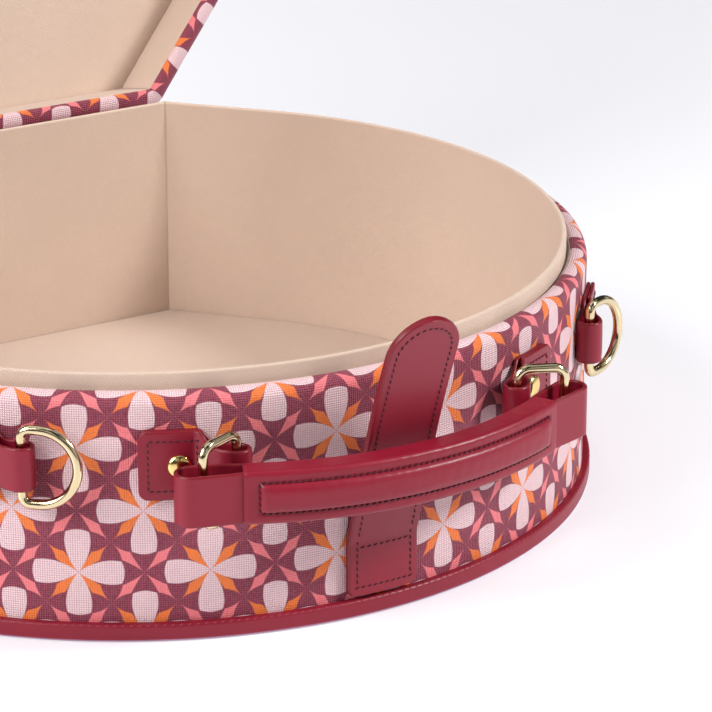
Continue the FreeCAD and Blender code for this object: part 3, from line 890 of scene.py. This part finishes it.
def build_hinge():
    """One strip of leather that bends between its two sewn halves."""
    reach = HINGE.z - HINGE_FOOT
    away = LID_TURN @ Z_AXIS
    stops = [k * (reach - HINGE_BEND) / HINGE_STEPS for k in range(HINGE_STEPS + 1)]
    path = [HINGE - Z_AXIS * (reach - stop) for stop in stops]
    path += [HINGE + away * (HINGE_BEND + stop) for stop in stops]
    strip = Strip(path, X_AXIS)
    piece = strap("hinge_strip", strip, lambda s: HINGE_HALF, HINGE_T, None, edge=0.7, step=2.0)
    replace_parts(piece, "hinge_leaf_base", "hinge_leaf_lid")
    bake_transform(piece)
    near = STITCH_INSET
    far = strip.length() - near
    side = HINGE_HALF - STITCH_INSET
    out = HINGE_T / 2 + 0.02
    for body, edge, stop in (("base", near, near + HINGE_SEAM), ("lid", far, far - HINGE_SEAM)):
        seam = seam_on_strip(strip, [(stop, -side), (edge, -side), (edge, side), (stop, side)], out)
        stitches("hinge_stitches_" + body, [seam], dark_thread, body)


# The closing strap

STRAP_W = corners("closure_foot")[1].x - corners("closure_foot")[0].x
STRAP_FOOT = corners("closure_foot")[0].z
STRAP_T = 3.2
FLAP_LEN = 111.5
FLAP_LEAN = -joint("flap_fold")["range_deg"][0]
FLAP_SAG = 1.3  # the flap's curve: it sags inwards, and slopes and curls outwards
FLAP_SLOPE = 2.4
FLAP_CURL = 2.2
FLAP_STEPS = 60
FOOT_STEPS = 16
FOOT_CORNER = 3.0
FOOT_BOW_RUN = 30.0  # length above the fold in which the foot's bow fades out
FLAP_SEAM_FOOT = 3.6
BACK_SINK = 0.25  # how far the seam behind the flap lies in its leather
STRAP_PITCH = 2.9


def build_closing_strap():
    fold = joint_point("flap_fold")
    lean = math.radians(FLAP_LEAN)
    up = Vector((0, -math.sin(lean), math.cos(lean)))
    inwards = Vector((0, math.cos(lean), math.sin(lean)))
    fold_at = fold.z - STRAP_FOOT
    path = [Vector((0, fold.y, STRAP_FOOT + fold_at * k / FOOT_STEPS)) for k in range(FOOT_STEPS)]
    for k in range(FLAP_STEPS + 1):
        share = k / FLAP_STEPS
        sag = FLAP_SAG * math.sin(math.pi * share) ** 1.5
        shape = sag - FLAP_SLOPE * share - FLAP_CURL * share ** 4
        path.append(fold + up * (FLAP_LEN * share) + inwards * shape)
    strip = Strip(path, X_AXIS, -1.0)
    total = strip.length()
    half = STRAP_W / 2

    def width(s):
        tip = s - (total - half)
        if tip > 0:
            return max(math.sqrt(max(half * half - tip * tip, 0.0)), 1.0)
        if s < FOOT_CORNER:
            return half - FOOT_CORNER + math.sqrt(max(FOOT_CORNER ** 2 - (FOOT_CORNER - s) ** 2, 0.01))
        return half

    def bow(s):
        """The foot hugs the round wall, and the flap is flat."""
        share = min(max((s - fold_at) / FOOT_BOW_RUN, 0.0), 1.0)
        return (1 - share) / (2 * ROUND_R)

    piece = strap("closing_strap", strip, width, STRAP_T, None, edge=0.95, groove=0.3, crown=0.15, bow=bow,
                  fine_ends=(3.2, 17.0))
    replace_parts(piece, "closure_foot", "closure_flap")
    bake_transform(piece)
    side = half - STITCH_INSET
    foot = STITCH_INSET - 0.3
    out = STRAP_T / 2 + 0.12
    foot_seam = [(fold_at + 2.0, -side), (foot, -side), (foot, side), (fold_at + 2.0, side)]
    cross_seam = [(fold_at - 2.0, side - 1.0), (fold_at - 2.0, 1.0 - side)]
    foot_seams = [seam_on_strip(strip, stops, out, bow) for stops in (foot_seam, cross_seam)]
    stitches("strap_foot_stitches", foot_seams, dark_thread, "base", STRAP_PITCH)
    round_tip = [(total - half + side * math.cos(a), side * math.sin(a)) for a in half_turn(24)]
    flap_foot = fold_at + FLAP_SEAM_FOOT
    flap_seam = [(flap_foot, -side)] + round_tip + [(flap_foot, side)]
    front = seam_on_strip(strip, flap_seam, out, bow)
    back_path, back_normals = seam_on_strip(strip, flap_seam, -STRAP_T / 2 + BACK_SINK, bow)
    back = (back_path, [n * -1.0 for n in back_normals])
    stitches("strap_flap_stitches", [front, back], dark_thread, "flap", STRAP_PITCH)


# Tabs, rings and rivets

TAB_Z, PATCH_HALF = heights("dee_tab_left")
TONGUE_HALF = 9.4
TAB_LEATHER = 1.8
PATCH_IN = 10.5
PATCH_OUT = 38.0
PATCH_CORNER = 4.0
TAB_STAND = 0.2  # from the wall to the lower patch
TAB_GAP = 0.12  # between the two patches
LOOP_R = 3.9
LOOP_LEAVE = 14.0  # where the lower strip leaves the wall for the loop
NEAR_BAR = 8.0  # a bar nearer to the wall than this has more leather round it
NEAR_REST = 155  # taken off the loop's turn, in degrees
FAR_REST = 170
LOOP_STEPS = 16
STUD_ALONG = 21.6
STUD_R = 5.0
STUD_EDGE = 0.35
STUD_DOME = 2.2
WIRE_R = 2.1
WIRE_SIDES = 20
RING_HALF_H = 17.0
DEE_HALF_H = 16.0


def bar_place(kind, word):
    """Distance from the centre and angle from the front of a ring's bar."""
    spot = joint_point("%s_ring_%s_swing" % (kind, word))
    return math.hypot(spot.x, spot.y), math.degrees(math.atan2(spot.x, -spot.y))


def tab_strip(bar_r, bar_deg, side):
    """From the patch's outer end, under the patch, round the bar and back over the patch."""
    lower = TAB_STAND + TAB_LEATHER / 2
    upper = lower + TAB_LEATHER + TAB_GAP
    loop = LOOP_R + TAB_LEATHER / 2
    centre = bar_r - ROUND_R
    leave = LOOP_LEAVE
    reach = Vector((leave, lower - centre))
    touch = math.atan2(reach.y, reach.x) - math.acos(min(loop / reach.length, 1.0))
    first = (loop * math.cos(touch), centre + loop * math.sin(touch))
    flat = []
    for k in range(14):
        flat.append((PATCH_OUT - (PATCH_OUT - leave) * k / 14, lower))
    for k in range(10):
        share = k / 10
        blend = 0.75 * share + 0.25 * smooth(share)
        flat.append((leave + (first[0] - leave) * share, lower + (first[1] - lower) * blend))
    rest = math.radians(NEAR_REST if centre < NEAR_BAR else FAR_REST)
    turn = 2 * math.pi - 1.05 * (math.pi / 2 + touch) - rest
    for k in range(LOOP_STEPS + 1):
        a = touch - turn * k / LOOP_STEPS
        flat.append((loop * math.cos(a), centre + loop * math.sin(a)))
    last = flat[-1]
    meet = PATCH_IN + 5.0
    for k in range(1, 13):
        share = k / 12
        blend = 0.45 * share + 0.55 * smooth(share)
        flat.append((last[0] + (meet - last[0]) * share, last[1] + (upper - last[1]) * blend))
    for k in range(1, 25):
        flat.append((meet + (PATCH_OUT - meet) * k / 24, upper))
    path = [polar(ROUND_R + off, bar_deg + side * math.degrees(along / ROUND_R), TAB_Z)
            for along, off in flat]
    return Strip(path, Z_AXIS, side)


def build_tab(kind, word, side):
    name = "%s_tab_%s" % (kind, word)
    strip = tab_strip(*bar_place(kind, word), side)
    total = strip.length()

    def width(s):
        end = min(s, total - s)
        along = PATCH_OUT - end
        if end < PATCH_CORNER:
            rise = max(PATCH_CORNER ** 2 - (PATCH_CORNER - end) ** 2, 0.02)
            return PATCH_HALF - PATCH_CORNER + math.sqrt(rise)
        share = min(max((along - (PATCH_IN - 4.0)) / 7.0, 0.0), 1.0)
        return TONGUE_HALF + (PATCH_HALF - TONGUE_HALF) * smooth(share)

    piece = strap(name + "_leather", strip, width, TAB_LEATHER, "base", edge=0.8, step=1.3, crown=0.12,
                  fine_ends=(4.5, 4.5))
    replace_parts(piece, name)
    outer = total - STITCH_INSET
    inner = total - (PATCH_OUT - PATCH_IN - 3.0)
    high = PATCH_HALF - STITCH_INSET
    box = [(outer, -high), (outer, high), (inner, high), (inner, -high), (outer, -high)]
    seam = seam_on_strip(strip, box, TAB_LEATHER / 2 + 0.1)
    stitches(name + "_stitches", [seam], dark_thread, "base", 2.7, 0.3)


LATHE_STEPS = 40


def lathe(name, profile, place):
    """A brass piece: a (radius, height) profile turned about the axis of a placement matrix."""
    rows = []
    uvs = []
    for r, h in profile:
        rows.append([place @ Vector((r * math.cos(a), r * math.sin(a), h)) for a in circle(LATHE_STEPS)])
        uvs.append([(math.tau * r * k / LATHE_STEPS, h) for k in range(LATHE_STEPS + 1)])
    return add_grid(name, rows, uvs, [stud_brass], "base", close_v=False)


def build_stud(kind, word, side):
    name = "%s_stud_%s" % (kind, word)
    _, bar_deg = bar_place(kind, word)
    degrees = bar_deg + side * math.degrees(STUD_ALONG / ROUND_R)
    face = ROUND_R + TAB_STAND + 2 * TAB_LEATHER + 0.1
    out = polar(1.0, degrees)
    turn = Matrix((Z_AXIS.cross(out), Z_AXIS, out)).transposed().to_4x4()
    place = Matrix.Translation(polar(face, degrees, TAB_Z)) @ turn
    profile = [(0.0, -3.0), (1.6, -3.0), (1.6, -0.2), (4.6, -0.2), (4.9, 0.0), (STUD_R, STUD_EDGE)]
    for k in range(1, 11):
        a = math.radians(9 * k)
        profile.append((STUD_R * math.cos(a), STUD_EDGE + STUD_DOME * math.sin(a)))
    piece = lathe(name + "_rivet", profile, place)
    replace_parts(piece, name)


def wire(name, path, body):
    """A round brass wire along a closed path that lies in one plane."""
    count = len(path)
    middle = sum(path, Vector()) / count
    plane = (path[0] - middle).cross(path[count // 4] - middle).normalized()
    rows = []
    for i, p in enumerate(path):
        way = (path[(i + 1) % count] - path[i - 1]).normalized()
        side = way.cross(plane)
        rows.append([p + (side * math.cos(a) + plane * math.sin(a)) * WIRE_R for a in circle(WIRE_SIDES)])
    uvs = [[(math.tau * WIRE_R * k / WIRE_SIDES, v) for k in range(WIRE_SIDES + 1)]
           for v in lengths(path, True)]
    return add_grid(name, rows, uvs, [brass], body)


def bent(corner_list):
    """A closed path in the ring's own plane, X along it and Z up."""
    return [Vector((p.x, 0, p.y)) for p in dense(rounded(corner_list, 10), 0.9)]


def build_ring(name, path, heading, tilt):
    """A brass wire ring, whose bar lies on the axis of its own body's joint."""
    spot = joint_point(name + "_swing")
    spin = turned(heading, "Z") @ turned(tilt, "Y")
    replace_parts(wire(name + "_wire", [spot + spin @ p for p in path], name), name)


RING_SPAN = (19.4, -6.7)  # from the bar to the far side: sideways, and along Y
RING_DROOP = 0.6
RING_CORNER = 5.0
DEE_DEPTH = 23.3
DEE_CORNER = 4.0
DEE_LEFT_TURN = 0.0
DEE_RIGHT_TURN = 159.0


def build_handle_ring(word, side):
    width = math.hypot(*RING_SPAN)
    tilt = math.degrees(math.asin(RING_DROOP / width))
    h = RING_HALF_H
    path = bent([(x, z, RING_CORNER) for x, z in ((0, -h), (width, -h), (width, h), (0, h))])
    heading = math.degrees(math.atan2(RING_SPAN[1], RING_SPAN[0] * side))
    build_ring("handle_ring_" + word, path, heading, tilt)


def build_dee_ring(word, side, turn):
    h = DEE_HALF_H
    neck = DEE_DEPTH - h
    path = bent([(neck, h, 0), (0, h, DEE_CORNER), (0, -h, DEE_CORNER), (neck, -h, 0)])
    path = [p for p in path if p.x < neck - 0.01 or abs(p.z) > h - 0.01]
    path += [Vector((neck + h * math.cos(a), 0, h * math.sin(a))) for a in half_turn(40)[1:-1]]
    _, bar_deg = bar_place("dee", word)
    heading = (bar_deg if side < 0 else bar_deg + 180) + side * turn
    build_ring("dee_ring_" + word, path, heading, 0.0)


# The carrying handle

GRIP_R = 158.0
GRIP_CENTRE = Vector((0, -79.4, 0))
GRIP_T = 12.5
GRIP_HALF_DEG = 28.6
GRIP_Z, GRIP_HALF_H = heights("handle_sleeve")
GRIP_SKIN = 0.9
PAD_PROUD = 2.4
PAD_HALF_H = 6.1
PAD_HALF_DEG = 26.2
PAD_SEAM = 0.5  # from the bolster's edge to its seam
SEAM_DEPTH = 0.38  # the groove that the seam pulls into the leather
SEAM_WIDTH = 0.55
SLEEVE_STEPS = 220
TUCK_DEG = 0.45  # the sleeve's last stretch, drawn in by these shares
TUCK_OUT = 0.965
TUCK_Z = 0.98
END_TILT = 17.0
END_LEATHER = 1.9
END_R = 7.3
END_RUN = 19.2
END_HALF_H = 10.9
END_IN = 3.5  # how far each end loop reaches into the sleeve


def pad_height(degrees, z):
    """How proud the stitched bolster stands, 0 outside its seam."""
    edge = PAD_HALF_H - abs(z)
    end = math.radians(PAD_HALF_DEG - abs(degrees)) * GRIP_R
    if edge <= 0 or end <= 0:
        return 0.0
    across = math.sqrt(1 - (1 - min(edge / PAD_HALF_H, 1.0)) ** 3.2)
    lengthwise = math.sqrt(1 - (1 - min(end / 7.0, 1.0)) ** 2.4)
    return PAD_PROUD * across * lengthwise


def seam_groove(degrees, z):
    """Depth of the groove under the bolster's seam."""
    depth = 0.0
    edge = abs(abs(z) - PAD_HALF_H - PAD_SEAM)
    if abs(degrees) < PAD_HALF_DEG + 0.4:
        depth = SEAM_DEPTH * math.exp(-(edge / SEAM_WIDTH) ** 2)
    end = abs(math.radians(abs(degrees) - PAD_HALF_DEG) * GRIP_R)
    if abs(z) < PAD_HALF_H + 0.6:
        depth = max(depth, SEAM_DEPTH * math.exp(-(end / SEAM_WIDTH) ** 2))
    return depth


def grip_point(degrees, out, z):
    return GRIP_CENTRE + polar(GRIP_R - GRIP_T / 2 + out, degrees, GRIP_Z + z)


def build_sleeve():
    h = GRIP_HALF_H
    t = GRIP_T / 2
    cut = dense(rounded([(t, h, 2.0), (-t, h, 2.4), (-t, -h, 2.4), (t, -h, 2.0)], 5), 0.7)
    run = lengths(cut, True)
    rows = []
    uvs = []
    for i in range(SLEEVE_STEPS + 1):
        degrees = GRIP_HALF_DEG * (2 * i / SLEEVE_STEPS - 1)
        past = abs(degrees) > GRIP_HALF_DEG - TUCK_DEG
        row = []
        for p in cut:
            out, z = p.x, p.y
            if out > t - 0.05:
                out += pad_height(degrees, z) - seam_groove(degrees, z)
            rumple = 0.10 * noise.noise(Vector((degrees * 0.9, z * 0.22, out * 0.2 + 4.0)))
            rumple += 0.05 * noise.noise(Vector((degrees * 3.1, z * 0.5, 9.0)))
            out += rumple
            z += rumple * 0.5
            if past:
                out *= TUCK_OUT
                z *= TUCK_Z
            row.append(grip_point(degrees, out, z))
        rows.append(row)
        uvs.append([(r, math.radians(degrees) * GRIP_R) for r in run])
    piece = add_grid("handle_sleeve_leather", rows, uvs, [crimson], "handle", close_v=False)
    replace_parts(piece, "handle_sleeve")


def grip_seam(first, last, count):
    """A seam on the handle's face between two (degrees, height) spots."""
    path = []
    normals = []
    for i in range(count + 1):
        degrees, z = (a + (b - a) * i / count for a, b in zip(first, last))
        path.append(grip_point(degrees, GRIP_T / 2 - 0.02, z))
        normals.append(polar(1.0, degrees))
    return path, normals


def build_handle_stitches():
    end = PAD_HALF_DEG
    row = PAD_HALF_H + PAD_SEAM
    seams = [grip_seam((-end, z), (end, z), 260) for z in (row, -row)]
    seams += [grip_seam((x, -row), (x, row), 24) for x in (-end, end)]
    stitches("handle_stitches", seams, dark_thread, "handle", 2.7, 0.36, 0.66, 0.2)


def build_handle_end(word, side):
    tilt = math.radians(END_TILT)
    run = Vector((side * math.cos(tilt), math.sin(tilt), 0))
    inward = Vector((-side * math.sin(tilt), math.cos(tilt), 0))
    lift = Z_AXIS * GRIP_Z
    front, back = (GRIP_CENTRE + polar(r, side * GRIP_HALF_DEG) + lift
                   for r in (GRIP_R - GRIP_SKIN, GRIP_R - GRIP_T + GRIP_SKIN))
    centre = front + run * END_RUN + inward * END_R
    half = END_LEATHER / 2
    r = END_R - half
    path = [front + inward * half + run * (-END_IN + (END_RUN + END_IN) * k / 16) for k in range(16)]
    path += [centre + run * (r * math.cos(a)) + inward * (r * math.sin(a)) for a in half_turn(24)]
    last = path[-1]
    goal = back + (front - back).normalized() * half - run * END_IN
    for k in range(1, 17):
        share = k / 16
        path.append(last.lerp(goal, share) + inward * (0.6 * math.sin(math.pi * share)))
    strip = Strip(path, Z_AXIS, -side)
    name = "handle_end_" + word
    piece = strap(name + "_leather", strip, lambda s: END_HALF_H, END_LEATHER, "handle", edge=0.85, step=1.2,
                  crown=0.1)
    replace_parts(piece, name)


# Stage, light and camera

CAMERA = Vector((-765.18, -1397.36, 633.15)) * MM
CAMERA_YAW = 32.18
CAMERA_PITCH = 20.15
FOCAL_SHARE = 5.238  # focal length over the image's width
STAGE_HALF = 4.0  # metres, as are all lengths of the stage and the lights
STAGE_DROP = 0.0004
LIGHTS = (  # name, place, target, size, watts
    ("right", (1.4, -1.35, 1.4), (0, 0, 0.08), 0.45, 48.0),
    ("left", (-1.75, -0.1, 1.3), (0, 0, 0.1), 1.3, 48.0),
    ("top", (-0.2, 0.3, 2.2), (0, 0, 0.1), 1.6, 6.0),
)


def build_stage():
    mesh = bpy.data.meshes.new("floor")
    square = ((-1, -1), (1, -1), (1, 1), (-1, 1))
    mesh.from_pydata([(x * STAGE_HALF, y * STAGE_HALF, -STAGE_DROP) for x, y in square], [], [(0, 1, 2, 3)])
    s = Shader("pale_floor", 0.32, Specular_IOR_Level=0.35, Emission_Color=rgb(0.97, 0.97, 1.0),
               Emission_Strength=0.33)
    haze = s.noise(1.3, 2.0)
    s.colour(s.mix(haze * 0.2, rgb(0.72, 0.72, 0.75), rgb(0.7, 0.7, 0.73)))
    mesh.materials.append(s.material)
    link("floor", mesh)


def area_light(name, spot, target, size, watts):
    data = bpy.data.lights.new(name, "AREA")
    data.shape = "RECTANGLE"
    data.size = data.size_y = size
    data.energy = watts
    light = link(name, data)
    light.location = spot
    light.rotation_euler = (Vector(target) - Vector(spot)).to_track_quat("-Z", "Y").to_euler()


def build_lights():
    """A dark world with a few soft bright patches, for the brass to reflect, and three lamps."""
    world = bpy.data.worlds.new("studio")
    world.use_nodes = True
    sky = world.node_tree.nodes["Background"]
    tree = world.node_tree
    coords = tree.nodes.new("ShaderNodeTexCoord")
    cards = tree.nodes.new("ShaderNodeTexNoise")
    cards.inputs["Scale"].default_value = 2.8
    cards.inputs["Detail"].default_value = 1.0
    tree.links.new(coords.outputs["Generated"], cards.inputs["Vector"])
    patchy = (Num(tree, cards.outputs["Fac"]) - 0.515).soft_step(0.04)
    feed(tree, sky.inputs["Strength"], patchy * 0.55 + 0.02)
    sky.inputs["Color"].default_value = rgb(0.97, 0.98, 1.0)
    bpy.context.scene.world = world
    for light in LIGHTS:
        area_light(*light)


def build_camera():
    bpy.context.scene.view_settings.view_transform = "Standard"
    data = bpy.data.cameras.new("camera")
    data.sensor_width = 36.0
    data.lens = FOCAL_SHARE * data.sensor_width
    camera = link("camera", data)
    yaw = math.radians(CAMERA_YAW)
    pitch = math.radians(CAMERA_PITCH)
    ahead = Vector((math.sin(yaw) * math.cos(pitch), math.cos(yaw) * math.cos(pitch), -math.sin(pitch)))
    camera.location = CAMERA
    camera.rotation_euler = ahead.to_track_quat("-Z", "Y").to_euler()
    bpy.context.scene.camera = camera


build_camera()
build_stage()
build_lights()
paint_cad_nodes()
build_wall()
build_wall_lining()
# The trim's lowest faces take the lilac band, a painted reflection of the floor.
build_trim("foot_trim", "bottom_trim", "base", 0.0, 1.0, [trim_leather, floor_reflection_edge],
           lambda p: 1 if p.z < REFLECTION_EDGE_H else 0)
build_lid()
build_hinge()
build_closing_strap()
for word, side in (("left", -1), ("right", 1)):
    for build in (build_tab, build_stud):
        for kind in ("handle", "dee"):
            build(kind, word, side)
    build_handle_ring(word, side)
    build_handle_end(word, side)
build_dee_ring("left", -1, DEE_LEFT_TURN)
build_dee_ring("right", 1, DEE_RIGHT_TURN)
build_sleeve()
build_handle_stitches()
